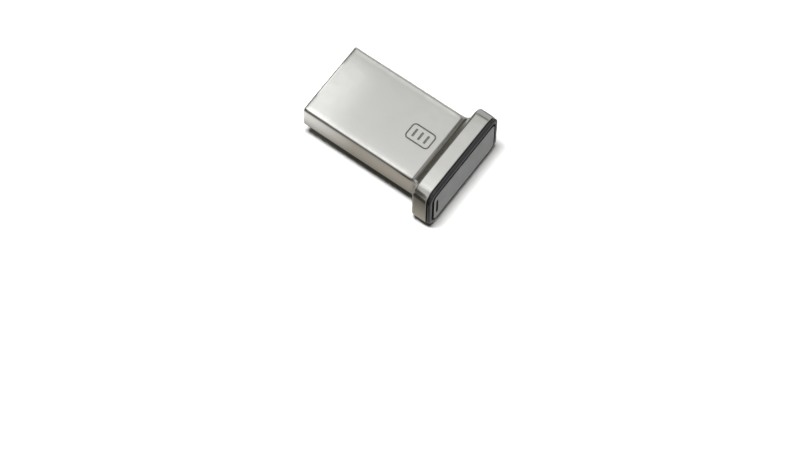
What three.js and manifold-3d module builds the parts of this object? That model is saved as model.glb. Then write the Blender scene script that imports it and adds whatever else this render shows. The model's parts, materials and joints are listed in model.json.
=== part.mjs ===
// A short USB flash drive: one cast metal body that is both the plug and the wider head,
// a black bezel with a grey end panel in the head, and the board with its chips inside.
//
// Millimetres, +Z up. Inside this file x runs from the plug's open tip to the end panel,
// y runs across the plug and z is height above the underside of the head. The exported
// group is shifted along x, so that the part's own origin is the middle of its underside.
import * as THREE from "three";
import { mergeVertices } from "three/addons/utils/BufferGeometryUtils.js";
import Module from "manifold-3d";

const wasm = await Module();
wasm.setup();

// ---------------------------------------------------------------- driving dimensions
const TOTAL_LENGTH = 22.34;

const PLUG_WIDTH = 12.0; // the standard Type-A plug
const PLUG_HEIGHT = 4.5;
const PLUG_CORNER = 0.45;
const PLUG_TIP_ROUND = 0.18;
const SIDE_WALL = 0.38;
const FACE_WALL = 0.35;

const HEAD_WIDTH = 15.8;
const HEAD_HEIGHT = 8.5;
const HEAD_CORNER = 1.6;
const HEAD_BACK = 19.25; // where the shoulder behind the plug lies
const HEAD_FRONT = 21.64; // where the metal ends
const HEAD_BACK_ROUND = 0.45;
const HEAD_FRONT_ROUND = 0.1;
const HEAD_WALL = 0.7;
const NECK_LENGTH = 1.55; // hollow fillet between the plug and the shoulder, along the drive
const NECK_RISE = 1.3; // and outwards

const EMBLEM_X = 15.1; // middle of the engraved mark on the plug's upper face
const EMBLEM_LENGTH = 3.8;
const EMBLEM_WIDTH = 2.6;
const EMBLEM_CORNER = 0.6;
const EMBLEM_LINE = 0.16;
const EMBLEM_DEPTH = 0.06;
const EMBLEM_BARS = 3;
const EMBLEM_BAR_WIDTH = 0.3;

const TONGUE_HEIGHT = 1.84; // from the plug's inner floor to the top of the contacts
const CONTACT_THICKNESS = 0.08;
const CONTACT_WIDTH = 1.0;
const CONTACT_END = 8.81;
const BOARD_THICKNESS = 0.6;
const BOARD_HALF_WIDTH = 5.5;
const BOARD_HEAD_HALF_WIDTH = 6.9; // the board is T-shaped: its bar sits inside the head
const BOARD_HEAD_LENGTH = 0.8;
const CARRIER_START = 0.5;
const CARRIER_END = 18.6;
const CARRIER_LIP = 0.6;
const CARRIER_FLOOR = 0.3;
const CARRIER_RAIL = 0.6;
const STOP_START = 10.0; // the block that closes the plug's upper space

const BEZEL_INSET = 0.11; // the bezel is this much smaller than the head all round
const BEZEL_CORNER = 1.5;
const BEZEL_FRONT_ROUND = 0.22;
const BEZEL_GAP = 0.12; // the shadow gap between the metal and the bezel
const BEZEL_PLATE = 0.2;
const BEZEL_SPIGOT = 0.85;
const BEZEL_SET_BACK = 0.08; // the rim lies this far behind the panel's face
const PANEL_GROOVE = 0.35;
const PANEL_HALF_WIDTH = 6.9;
const PANEL_HALF_HEIGHT = 3.22;
const PANEL_CORNER = 0.85;
const TAPE_THICKNESS = 0.06;

const WINDOW_Y = -6.17; // the narrow status-light window in the panel
const WINDOW_WIDTH = 0.34;
const WINDOW_LENGTH = 3.4;
const WINDOW_SET_BACK = 0.2; // from the panel's face

const SEAT = 0.02; // the film of air or glue between pieces that sit on each other
const FIT = 0.05; // the slip fit of a piece inside its pocket
const ARC_STEPS = 5;

// ------------------------------------------------------------------ derived heights
const AXIS_Z = HEAD_HEIGHT / 2; // plug, head, bezel and panel share this centre height
const PLUG_BOTTOM = AXIS_Z - PLUG_HEIGHT / 2;
const PLUG_TOP = AXIS_Z + PLUG_HEIGHT / 2;
const INNER_FLOOR = PLUG_BOTTOM + FACE_WALL;
const INNER_ROOF = PLUG_TOP - FACE_WALL;
const INNER_HALF_WIDTH = PLUG_WIDTH / 2 - SIDE_WALL;
const CONTACT_TOP = INNER_FLOOR + TONGUE_HEIGHT;
const BOARD_TOP = CONTACT_TOP - CONTACT_THICKNESS - SEAT;
const BOARD_UNDER = BOARD_TOP - BOARD_THICKNESS;
const CARRIER_UNDER = INNER_FLOOR + SEAT;
const POCKET_BACK = HEAD_BACK + HEAD_WALL;
const POCKET_HALF_WIDTH = HEAD_WIDTH / 2 - HEAD_WALL;
const POCKET_HALF_HEIGHT = HEAD_HEIGHT / 2 - HEAD_WALL;
const POCKET_CORNER = 0.95;
const BOARD_START = CARRIER_START + CARRIER_LIP + SEAT;
const BOARD_BAR = POCKET_BACK + FIT; // where the board's wider bar begins
const BOARD_END = BOARD_BAR + BOARD_HEAD_LENGTH;
const BEZEL_BACK = HEAD_FRONT + BEZEL_GAP;
const BEZEL_FRONT = TOTAL_LENGTH - BEZEL_SET_BACK;
const PANEL_BED = BEZEL_BACK + BEZEL_PLATE;

// -------------------------------------------------------------------------- helpers
// Outline of a rectangle with round corners, centred on the origin.
function roundedRectangle(halfWidth, halfHeight, corner) {
  const shape = new THREE.Shape();
  const quarter = Math.PI / 2;
  const right = halfWidth - corner;
  const top = halfHeight - corner;
  shape.moveTo(halfWidth, -top);
  shape.lineTo(halfWidth, top);
  shape.absarc(right, top, corner, 0, quarter);
  shape.lineTo(-right, halfHeight);
  shape.absarc(-right, top, corner, quarter, 2 * quarter);
  shape.lineTo(-halfWidth, -top);
  shape.absarc(-right, -top, corner, 2 * quarter, 3 * quarter);
  shape.lineTo(right, -halfHeight);
  shape.absarc(right, -top, corner, 3 * quarter, 4 * quarter);
  return shape;
}

// Extrudes an outline drawn across the drive (its x is y, its y is height) from x0 to x1.
function alongLength(shape, x0, x1, centreZ = AXIS_Z) {
  const options = { depth: x1 - x0, bevelEnabled: false, curveSegments: ARC_STEPS };
  const across = new THREE.Vector3(0, 1, 0);
  const up = new THREE.Vector3(0, 0, 1);
  const along = new THREE.Vector3(1, 0, 0);
  return new THREE.ExtrudeGeometry(shape, options)
    .applyMatrix4(new THREE.Matrix4().makeBasis(across, up, along))
    .translate(x0, 0, centreZ);
}

// Extrudes a side view (its x is x, its y is height) across the drive, from -halfWidth to halfWidth.
function acrossWidth(shape, halfWidth) {
  const options = { depth: 2 * halfWidth, bevelEnabled: false, curveSegments: ARC_STEPS };
  const along = new THREE.Vector3(1, 0, 0);
  const up = new THREE.Vector3(0, 0, 1);
  const across = new THREE.Vector3(0, -1, 0);
  return new THREE.ExtrudeGeometry(shape, options)
    .applyMatrix4(new THREE.Matrix4().makeBasis(along, up, across))
    .translate(0, halfWidth, 0);
}

// Extrudes a plan view (its x is x, its y is y) upwards from z0 to z1.
function upwards(shape, z0, z1) {
  const options = { depth: z1 - z0, bevelEnabled: false, curveSegments: ARC_STEPS };
  return new THREE.ExtrudeGeometry(shape, options).translate(0, 0, z0);
}

function block(x0, x1, y0, y1, z0, z1) {
  return new THREE.BoxGeometry(x1 - x0, y1 - y0, z1 - z0).translate(
    (x0 + x1) / 2,
    (y0 + y1) / 2,
    (z0 + z1) / 2,
  );
}

// A skin through rounded-rectangle sections that follow each other along x, closed at both ends.
// Each section says where it is and by how much it is inset from its own base rectangle.
function loft(sections) {
  const rings = sections.map(({ x, base, inset }) =>
    roundedRectangle(base.halfWidth - inset, base.halfHeight - inset, base.corner - inset)
      .getPoints(ARC_STEPS)
      .slice(0, -1)
      .map((point) => [x, point.x, AXIS_Z + point.y]),
  );
  const count = rings[0].length;
  const last = (rings.length - 1) * count;
  const index = [];
  for (let ring = 0; ring < rings.length - 1; ring++) {
    for (let i = 0; i < count; i++) {
      const a = ring * count + i;
      const b = ring * count + ((i + 1) % count);
      index.push(a, b, a + count, b, b + count, a + count);
    }
  }
  for (let i = 1; i < count - 1; i++) {
    index.push(0, i + 1, i);
    index.push(last, last + i, last + i + 1);
  }
  const geometry = new THREE.BufferGeometry();
  geometry.setAttribute("position", new THREE.Float32BufferAttribute(rings.flat(2), 3));
  geometry.setIndex(index);
  return geometry;
}

// A three.js geometry as a manifold-3d solid, for cutting and joining.
function solid(geometry) {
  const bare = geometry.clone();
  bare.deleteAttribute("normal");
  bare.deleteAttribute("uv");
  const merged = mergeVertices(bare, 1e-4);
  return new wasm.Manifold(
    new wasm.Mesh({
      numProp: 3,
      vertProperties: new Float32Array(merged.attributes.position.array),
      triVerts: new Uint32Array(merged.index.array),
    }),
  );
}

function geometryOf(manifold) {
  const mesh = manifold.getMesh();
  const geometry = new THREE.BufferGeometry();
  geometry.setAttribute("position", new THREE.BufferAttribute(mesh.vertProperties, 3));
  geometry.setIndex(new THREE.BufferAttribute(mesh.triVerts, 1));
  return geometry;
}

function cut(geometry, ...tools) {
  return geometryOf(tools.reduce((left, tool) => left.subtract(solid(tool)), solid(geometry)));
}

function join(geometry, ...others) {
  return geometryOf(others.reduce((sum, other) => sum.add(solid(other)), solid(geometry)));
}

const drive = new THREE.Group();

function place(name, geometry, color, roughness, metalness = 0) {
  const mesh = new THREE.Mesh(
    geometry,
    new THREE.MeshStandardMaterial({ color, roughness, metalness }),
  );
  mesh.name = name;
  drive.add(mesh);
}

// ----------------------------------------------------------------------- metal body
// Outer skin of the casting: rounded tip, straight plug, hollow neck, shoulder, head.
function bodySkin() {
  const plug = { halfWidth: PLUG_WIDTH / 2, halfHeight: PLUG_HEIGHT / 2, corner: PLUG_CORNER };
  const head = { halfWidth: HEAD_WIDTH / 2, halfHeight: HEAD_HEIGHT / 2, corner: HEAD_CORNER };
  const sections = [];
  const quarterTurn = (steps, add) => {
    for (let i = 0; i <= steps; i++) add(((Math.PI / 2) * i) / steps);
  };
  quarterTurn(3, (t) => {
    const inset = PLUG_TIP_ROUND * (1 - Math.sin(t));
    sections.push({ x: PLUG_TIP_ROUND * (1 - Math.cos(t)), base: plug, inset });
  });
  quarterTurn(7, (t) => {
    const x = HEAD_BACK - NECK_LENGTH * (1 - Math.sin(t));
    sections.push({ x, base: plug, inset: -NECK_RISE * (1 - Math.cos(t)) });
  });
  quarterTurn(5, (t) => {
    const x = HEAD_BACK + HEAD_BACK_ROUND * (1 - Math.cos(t));
    sections.push({ x, base: head, inset: HEAD_BACK_ROUND * (1 - Math.sin(t)) });
  });
  sections.push({ x: HEAD_FRONT - HEAD_FRONT_ROUND, base: head, inset: 0 });
  sections.push({ x: HEAD_FRONT, base: head, inset: HEAD_FRONT_ROUND });
  return loft(sections);
}

// A neutral memory-chip sign: a round-cornered frame with short bars in it, as cutting tools.
function emblemTools() {
  const floor = PLUG_TOP - EMBLEM_DEPTH;
  const above = PLUG_TOP + 1;
  const halfLength = EMBLEM_LENGTH / 2;
  const halfWidth = EMBLEM_WIDTH / 2;
  const frame = roundedRectangle(halfLength, halfWidth, EMBLEM_CORNER);
  const inside = roundedRectangle(
    halfLength - EMBLEM_LINE,
    halfWidth - EMBLEM_LINE,
    EMBLEM_CORNER - EMBLEM_LINE,
  );
  frame.holes.push(new THREE.Path(inside.getPoints(ARC_STEPS)));
  const tools = [upwards(frame, floor, above)];
  const pitch = EMBLEM_LENGTH / (EMBLEM_BARS + 1);
  const halfBar = EMBLEM_BAR_WIDTH / 2;
  for (let i = 0; i < EMBLEM_BARS; i++) {
    const x = (i - (EMBLEM_BARS - 1) / 2) * pitch;
    tools.push(block(x - halfBar, x + halfBar, -EMBLEM_WIDTH / 4, EMBLEM_WIDTH / 4, floor, above));
  }
  return tools.map((tool) => tool.translate(EMBLEM_X, 0, 0));
}

function metalBody() {
  const plugBore = roundedRectangle(INNER_HALF_WIDTH, AXIS_Z - INNER_FLOOR, 0.1);
  const headPocket = roundedRectangle(POCKET_HALF_WIDTH, POCKET_HALF_HEIGHT, POCKET_CORNER);
  return cut(
    bodySkin(),
    alongLength(plugBore, -1, POCKET_BACK + 1),
    alongLength(headPocket, POCKET_BACK, HEAD_FRONT + 1),
    ...emblemTools(),
  );
}

// ---------------------------------------------------------- tongue, board, contacts
// The plastic tray that forms the tongue's nose and holds the board over its chips.
function plugCarrier() {
  const noseTop = BOARD_TOP;
  const railTop = BOARD_UNDER - SEAT;
  const slope = 0.3;
  const side = new THREE.Shape();
  side.moveTo(CARRIER_START + 0.15, CARRIER_UNDER);
  side.lineTo(CARRIER_END, CARRIER_UNDER);
  side.lineTo(CARRIER_END, railTop);
  side.lineTo(CARRIER_START + CARRIER_LIP, railTop);
  side.lineTo(CARRIER_START + CARRIER_LIP, noseTop);
  side.lineTo(CARRIER_START + slope, noseTop);
  side.lineTo(CARRIER_START, noseTop - slope);
  side.lineTo(CARRIER_START, CARRIER_UNDER + 0.15);
  side.closePath();
  const halfWidth = INNER_HALF_WIDTH - FIT;
  const chipBay = block(
    CARRIER_START + CARRIER_LIP + CARRIER_RAIL,
    CARRIER_END - CARRIER_RAIL,
    -halfWidth + CARRIER_RAIL,
    halfWidth - CARRIER_RAIL,
    CARRIER_UNDER + CARRIER_FLOOR,
    BOARD_UNDER + 1,
  );
  return cut(acrossWidth(side, halfWidth), chipBay);
}

// The T-shaped board: a tongue through the plug and a bar across the inside of the head.
function circuitBoard() {
  const plan = new THREE.Shape();
  plan.moveTo(BOARD_START, -BOARD_HALF_WIDTH);
  plan.lineTo(BOARD_BAR, -BOARD_HALF_WIDTH);
  plan.lineTo(BOARD_BAR, -BOARD_HEAD_HALF_WIDTH);
  plan.lineTo(BOARD_END, -BOARD_HEAD_HALF_WIDTH);
  plan.lineTo(BOARD_END, BOARD_HEAD_HALF_WIDTH);
  plan.lineTo(BOARD_BAR, BOARD_HEAD_HALF_WIDTH);
  plan.lineTo(BOARD_BAR, BOARD_HALF_WIDTH);
  plan.lineTo(BOARD_START, BOARD_HALF_WIDTH);
  plan.closePath();
  return upwards(plan, BOARD_UNDER, BOARD_TOP);
}

// One gold contact blade with round ends. The outer two start nearer the tip, so that power
// and ground touch before the data lines do.
function contact(y, length) {
  const plan = roundedRectangle(length / 2, CONTACT_WIDTH / 2, 0.2);
  const base = BOARD_TOP + SEAT;
  return upwards(plan, base, base + CONTACT_THICKNESS).translate(CONTACT_END - length / 2, y, 0);
}

// The block that closes the plug's upper space behind the contacts and presses on the board.
function plugStop() {
  const lead = 0.25;
  const under = BOARD_TOP + SEAT;
  const roof = INNER_ROOF - FIT;
  const side = new THREE.Shape();
  side.moveTo(STOP_START, under);
  side.lineTo(POCKET_BACK - FIT, under);
  side.lineTo(POCKET_BACK - FIT, roof);
  side.lineTo(STOP_START + lead, roof);
  side.lineTo(STOP_START, roof - lead);
  side.closePath();
  return acrossWidth(side, INNER_HALF_WIDTH - FIT);
}

// ------------------------------------------------------------- parts under the board
const CHIP_TOP = BOARD_UNDER - SEAT; // parts hang from the board's lower face
const DIE_THICKNESS = 0.12;
const MEMORY = { x: 12.6, y: 0.6, length: 8.6, width: 7.0 };
const CONTROLLER = { x: 6.6, y: 0.6, length: 2.8, width: 2.6 };

function die({ x, y, length, width }, layer, shift = 0, shrink = 0) {
  const top = CHIP_TOP - layer * (DIE_THICKNESS + SEAT);
  const halfLength = (length - shrink) / 2;
  const halfWidth = (width - shrink) / 2;
  return block(
    x + shift - halfLength,
    x + shift + halfLength,
    y - halfWidth,
    y + halfWidth,
    top - DIE_THICKNESS,
    top,
  );
}

// The moulded cover over the bare dies: a low block with a bay for each, open to the board.
function dieCover() {
  const margin = 0.25;
  const wall = 0.45;
  const bay = ({ x, y, length, width }) =>
    block(
      x - length / 2 - margin,
      x + length / 2 + margin,
      y - width / 2 - margin,
      y + width / 2 + margin,
      CHIP_TOP - 0.4,
      CHIP_TOP + 1,
    );
  const front = CONTROLLER.x - CONTROLLER.length / 2 - margin - wall;
  const back = MEMORY.x + MEMORY.length / 2 + margin + wall;
  const halfWidth = MEMORY.width / 2 + margin + wall;
  const plan = roundedRectangle((back - front) / 2, halfWidth, 0.4);
  const body = upwards(plan, CHIP_TOP - 0.7, CHIP_TOP).translate((front + back) / 2, MEMORY.y, 0);
  return cut(body, bay(MEMORY), bay(CONTROLLER));
}

// A small two-ended part: a body with a slightly thicker metal cap on each end.
function cappedChip(x, y, length, width, height) {
  const cap = length * 0.24;
  const lip = 0.03;
  const top = CHIP_TOP;
  const body = block(
    x - length / 2 + cap / 2,
    x + length / 2 - cap / 2,
    y - width / 2,
    y + width / 2,
    top - height + lip,
    top - lip,
  );
  const end = (from) =>
    block(from, from + cap, y - width / 2 - lip, y + width / 2 + lip, top - height, top);
  return join(body, end(x - length / 2), end(x + length / 2 - cap));
}

// A square chip package with a chamfered lower rim.
function chipPackage(x, y, length, width, height) {
  const chamfer = 0.08;
  const body = block(
    x - length / 2,
    x + length / 2,
    y - width / 2,
    y + width / 2,
    CHIP_TOP - height + chamfer,
    CHIP_TOP,
  );
  const face = block(
    x - length / 2 + chamfer,
    x + length / 2 - chamfer,
    y - width / 2 + chamfer,
    y + width / 2 - chamfer,
    CHIP_TOP - height,
    CHIP_TOP - height + 2 * chamfer,
  );
  return join(body, face);
}

// The crystal's metal can: a round-cornered lid on a slightly wider base.
function crystalCan(x, y) {
  const base = roundedRectangle(1.0, 0.8, 0.15);
  const lid = roundedRectangle(0.92, 0.72, 0.2);
  return join(
    upwards(base, CHIP_TOP - 0.25, CHIP_TOP).translate(x, y, 0),
    upwards(lid, CHIP_TOP - 0.5, CHIP_TOP - 0.2).translate(x, y, 0),
  );
}

// ------------------------------------------------------------------- inside the head
// A bent leaf between the board's bar and the roof of the head, which grounds the metal body.
function groundSpring() {
  const thickness = 0.15;
  const foot = BOARD_TOP + SEAT;
  const crest = AXIS_Z + POCKET_HALF_HEIGHT - FIT;
  const leaf = new THREE.Shape();
  leaf.moveTo(1.6, foot);
  leaf.lineTo(3.6, foot);
  leaf.lineTo(5.1, crest - 0.5);
  leaf.quadraticCurveTo(5.4, crest - thickness, 5.8, crest - thickness);
  leaf.quadraticCurveTo(6.1, crest - thickness, 6.3, crest - 0.5);
  leaf.lineTo(6.44, crest - 0.44);
  leaf.quadraticCurveTo(6.2, crest, 5.8, crest);
  leaf.quadraticCurveTo(5.3, crest, 4.96, crest - 0.44);
  leaf.lineTo(3.5, foot + thickness);
  leaf.lineTo(1.6, foot + thickness);
  leaf.closePath();
  return alongLength(leaf, BOARD_BAR + 0.1, BOARD_END - 0.1, 0);
}

function statusLed() {
  const base = BOARD_TOP + SEAT;
  const lens = block(
    BOARD_END - 0.3,
    BOARD_END - 0.05,
    WINDOW_Y - 0.35,
    WINDOW_Y + 0.35,
    base + 0.05,
    base + 0.45,
  );
  const body = block(
    BOARD_BAR + 0.1,
    BOARD_END - 0.25,
    WINDOW_Y - 0.5,
    WINDOW_Y + 0.5,
    base,
    base + 0.5,
  );
  return join(body, lens);
}

// A clear bar that widens from the light to the tall, narrow window in the panel.
function lightPipe() {
  const stem = block(
    BOARD_END + FIT,
    BEZEL_BACK + 0.05,
    WINDOW_Y - WINDOW_WIDTH / 2,
    WINDOW_Y + WINDOW_WIDTH / 2,
    BOARD_TOP,
    BOARD_TOP + 0.7,
  );
  const blade = roundedRectangle(WINDOW_WIDTH / 2, WINDOW_LENGTH / 2, WINDOW_WIDTH / 2 - 0.01);
  const face = TOTAL_LENGTH - WINDOW_SET_BACK;
  const front = alongLength(blade, BEZEL_BACK - 0.4, face).translate(0, WINDOW_Y, 0);
  return join(stem, front);
}

function windowSlot(x0, x1) {
  const halfWidth = WINDOW_WIDTH / 2 + FIT;
  const slot = roundedRectangle(halfWidth, WINDOW_LENGTH / 2 + FIT, halfWidth - 0.01);
  return alongLength(slot, x0, x1).translate(0, WINDOW_Y, 0);
}

// The black ring on the front of the head, with a plate behind the panel and a spigot that
// plugs into the metal.
function endBezel() {
  const rim = {
    halfWidth: HEAD_WIDTH / 2 - BEZEL_INSET,
    halfHeight: HEAD_HEIGHT / 2 - BEZEL_INSET,
    corner: BEZEL_CORNER,
  };
  const sections = [{ x: BEZEL_BACK, base: rim, inset: 0 }];
  for (let i = 0; i <= 3; i++) {
    const t = ((Math.PI / 2) * i) / 3;
    const x = BEZEL_FRONT - BEZEL_FRONT_ROUND * (1 - Math.sin(t));
    sections.push({ x, base: rim, inset: BEZEL_FRONT_ROUND * (1 - Math.cos(t)) });
  }
  const spigotHalfWidth = POCKET_HALF_WIDTH - FIT;
  const spigotHalfHeight = POCKET_HALF_HEIGHT - FIT;
  const spigot = roundedRectangle(spigotHalfWidth, spigotHalfHeight, POCKET_CORNER);
  const hollow = roundedRectangle(spigotHalfWidth - 0.6, spigotHalfHeight - 0.6, 0.4);
  const recess = roundedRectangle(
    PANEL_HALF_WIDTH + PANEL_GROOVE,
    PANEL_HALF_HEIGHT + PANEL_GROOVE,
    PANEL_CORNER + PANEL_GROOVE,
  );
  const ring = join(loft(sections), alongLength(spigot, BEZEL_BACK - BEZEL_SPIGOT, PANEL_BED));
  return cut(
    ring,
    alongLength(recess, PANEL_BED, TOTAL_LENGTH + 1),
    alongLength(hollow, BEZEL_BACK - BEZEL_SPIGOT - 1, BEZEL_BACK - 0.3),
    windowSlot(BEZEL_BACK - 1, TOTAL_LENGTH),
  );
}

// The glued seal in the gap between the metal and the bezel, round the spigot.
function bezelSeal() {
  const outer = roundedRectangle(HEAD_WIDTH / 2 - 0.32, HEAD_HEIGHT / 2 - 0.32, HEAD_CORNER - 0.32);
  const inner = roundedRectangle(POCKET_HALF_WIDTH + FIT, POCKET_HALF_HEIGHT + FIT, POCKET_CORNER);
  outer.holes.push(new THREE.Path(inner.getPoints(ARC_STEPS)));
  return alongLength(outer, HEAD_FRONT + SEAT, BEZEL_BACK - SEAT);
}

function panelTape() {
  const margin = 0.2;
  const sheet = roundedRectangle(PANEL_HALF_WIDTH - margin, PANEL_HALF_HEIGHT - margin, 0.65);
  const from = PANEL_BED + SEAT;
  const to = from + TAPE_THICKNESS;
  return cut(alongLength(sheet, from, to), windowSlot(from - 1, to + 1));
}

function endPanel() {
  const plate = roundedRectangle(PANEL_HALF_WIDTH, PANEL_HALF_HEIGHT, PANEL_CORNER);
  const from = PANEL_BED + TAPE_THICKNESS + 2 * SEAT;
  return cut(alongLength(plate, from, TOTAL_LENGTH), windowSlot(from - 1, TOTAL_LENGTH + 1));
}

// --------------------------------------------------------------------------- assembly
const BLACK_PLASTIC = 0x17171a;
const GOLD = 0xd9a441;
const TINNED = 0xb8b8b4;

place("metal_body", metalBody(), 0xb9b6ae, 0.32, 1);
place("plug_carrier", plugCarrier(), BLACK_PLASTIC, 0.6);
place("circuit_board", circuitBoard(), 0x14301f, 0.5);

const contacts = [
  { name: "contact_power", y: -3.5, length: 7.41 },
  { name: "contact_data_minus", y: -1.0, length: 6.41 },
  { name: "contact_data_plus", y: 1.0, length: 6.41 },
  { name: "contact_ground", y: 3.5, length: 7.41 },
];
for (const { name, y, length } of contacts) {
  place(name, contact(y, length), GOLD, 0.3, 1);
}
place("plug_stop", plugStop(), BLACK_PLASTIC, 0.65);

place("memory_die_inner", die(MEMORY, 0), 0x3a3d46, 0.25);
place("memory_die_outer", die(MEMORY, 1, 0.1, 0.4), 0x42454f, 0.25);
place("controller_die", die(CONTROLLER, 0), 0x4a4650, 0.25);
place("die_cover", dieCover(), 0x101012, 0.7);
place("crystal", crystalCan(3.1, -3.2), TINNED, 0.35, 1);
place("voltage_regulator", chipPackage(3.1, 3.1, 1.6, 1.6, 0.6), BLACK_PLASTIC, 0.55);
place("surge_protector", chipPackage(3.1, 0.2, 1.0, 1.6, 0.5), BLACK_PLASTIC, 0.55);

const smallParts = [
  { name: "input_capacitor", x: 3.0, y: 4.4, height: 0.5, color: 0x9a7b55 },
  { name: "core_capacitor", x: 6.2, y: -4.3, height: 0.5, color: 0x9a7b55 },
  { name: "memory_capacitor", x: 9.6, y: -4.3, height: 0.5, color: 0x9a7b55 },
  { name: "crystal_capacitor", x: 3.1, y: -4.5, height: 0.5, color: 0x9a7b55 },
  { name: "data_minus_resistor", x: 3.1, y: -1.4, height: 0.35, color: 0x202226 },
  { name: "data_plus_resistor", x: 3.1, y: 1.7, height: 0.35, color: 0x202226 },
  { name: "led_resistor", x: 15.2, y: -4.3, height: 0.35, color: 0x202226 },
];
for (const { name, x, y, height, color } of smallParts) {
  place(name, cappedChip(x, y, 1.0, 0.5, height), color, 0.5);
}

place("ground_spring", groundSpring(), 0xc9c7bd, 0.3, 1);
place("status_led", statusLed(), 0xe8e4d0, 0.4);
place("light_pipe", lightPipe(), 0x2a2d30, 0.2);
place("bezel_seal", bezelSeal(), 0x0a0a0a, 0.8);
place("end_bezel", endBezel(), 0x16171a, 0.15);
place("panel_tape", panelTape(), 0xd8d8d0, 0.7);
place("end_panel", endPanel(), 0x6c7070, 0.4, 0.3);

drive.position.x = -TOTAL_LENGTH / 2;

const flashDrive = new THREE.Group();
flashDrive.add(drive);
export default flashDrive;
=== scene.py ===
"""Looks of the short USB flash drive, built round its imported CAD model."""
import json
import math

import bmesh
import bpy
from mathutils import Matrix, Vector


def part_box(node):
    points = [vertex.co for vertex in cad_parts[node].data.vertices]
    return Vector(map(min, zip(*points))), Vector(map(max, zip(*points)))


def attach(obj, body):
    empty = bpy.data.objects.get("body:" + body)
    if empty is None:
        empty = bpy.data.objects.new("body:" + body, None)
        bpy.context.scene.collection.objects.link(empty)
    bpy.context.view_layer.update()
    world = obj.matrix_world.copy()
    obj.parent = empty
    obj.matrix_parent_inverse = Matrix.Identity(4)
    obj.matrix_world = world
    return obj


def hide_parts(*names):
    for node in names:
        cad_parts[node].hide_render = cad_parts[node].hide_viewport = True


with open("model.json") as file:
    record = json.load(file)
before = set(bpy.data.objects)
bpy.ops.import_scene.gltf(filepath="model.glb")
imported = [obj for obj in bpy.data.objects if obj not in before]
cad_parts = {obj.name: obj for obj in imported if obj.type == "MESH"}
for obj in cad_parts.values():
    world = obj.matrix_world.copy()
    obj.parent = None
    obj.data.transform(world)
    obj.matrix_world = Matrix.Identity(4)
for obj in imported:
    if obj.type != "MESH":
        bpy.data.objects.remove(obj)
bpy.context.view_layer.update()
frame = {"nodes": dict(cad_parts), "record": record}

MM = 0.001

# ------------------------------------------------------------- sizes, in millimetres
# Places along the drive are measured from the plug's open tip, heights from its centre line.
body_low, body_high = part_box("metal_body")
bezel_low, bezel_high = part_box("end_bezel")
panel_low, panel_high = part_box("end_panel")
window_low, window_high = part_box("light_pipe")

TIP_X = body_low.x
AXIS_Z = (body_low.z + body_high.z) / 2
LENGTH = (panel_high.x - TIP_X) / MM
BEZEL_FRONT = (bezel_high.x - TIP_X) / MM
HEAD_FRONT = (body_high.x - TIP_X) / MM
HEAD_HALF_WIDTH = body_high.y / MM
HEAD_HALF_HEIGHT = (body_high.z - AXIS_Z) / MM
HEAD_CORNER = 1.6
HEAD_BACK = 19.25
HEAD_BACK_ROUND = 0.45
HEAD_FRONT_ROUND = 0.1
HEAD_WALL = 0.7
POCKET_CORNER = 0.95

PLUG_HALF_WIDTH = 6.0
PLUG_HALF_HEIGHT = 2.25
PLUG_CORNER = 0.45
PLUG_TIP_ROUND = 0.18
SIDE_WALL = 0.38
FACE_WALL = 0.35
BORE_CORNER = 0.1
PLUG_CROWN = (2.6, 0.022)  # how far in from the corner the face eases down, and by how much
HEAD_CROWN = (4.5, 0.08)
NECK_LENGTH = 1.55
NECK_RISE = 1.3
NECK_START = HEAD_BACK - NECK_LENGTH
POCKET_LIP = 0.08  # the small chamfer at the pocket's mouth and at the bore's
PLUG_STATIONS = (0.6, 6.0, 12.0, NECK_START - 0.4)  # places of the rings along the straight plug
BORE_STATION = 12.0

EMBLEM_X = 15.1
EMBLEM_HALF_LENGTH = 1.9
EMBLEM_HALF_WIDTH = 1.3
EMBLEM_CORNER = 0.6
EMBLEM_LINE = 0.16
EMBLEM_DEPTH = 0.06
EMBLEM_SLOPE = 0.03  # how much the grooves widen at the surface
EMBLEM_BAR = (0.15, 0.65, 0.08)  # half length along the drive, half width across it, corner
EMBLEM_BARS = 3

BEZEL_CORNER = 1.5
BEZEL_GAP = 0.12
BEZEL_FRONT_ROUND = 0.22
BEZEL_BACK_ROUND = 0.06
BEZEL_PLATE = 0.2
SPIGOT_FIT = 0.05
SPIGOT_WALL = 0.6
SPIGOT_HOLLOW = 0.3  # the spigot's inner hollow ends this far behind the bezel's flange
PANEL_GROOVE = 0.35
GROOVE_LIP = 0.05
PANEL_CORNER = 0.85
PANEL_EDGE = 0.02
WINDOW_CLEARANCE = 0.05
CONTACT_CORNER = 0.3
CONTACT_DOME = 0.12  # how far the dome of a contact draws its outline in
CONTACT_SIDE = 0.3  # the share of a contact's height that is a straight side

CORNER_STEPS = 12
SMALL_CORNER_STEPS = 8
# Where points lie along a straight side: close together towards its two ends.
SIDE_SHARES = (0.02, 0.05, 0.08, 0.11, 0.2, 0.3, 0.5, 0.7, 0.8, 0.89, 0.92, 0.95, 0.98)
SHARP_ANGLE = 32  # edges sharper than this stay crisp, in degrees
CONTACT_SHARP_ANGLE = 50
FLAT_WEIGHT = 80  # how strongly large faces pull the shading flat, in percent


def place(x, y, z):
    """A point given in millimetres from the tip and from the centre line."""
    return Vector((TIP_X + x * MM, y * MM, AXIS_Z + z * MM))


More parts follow.
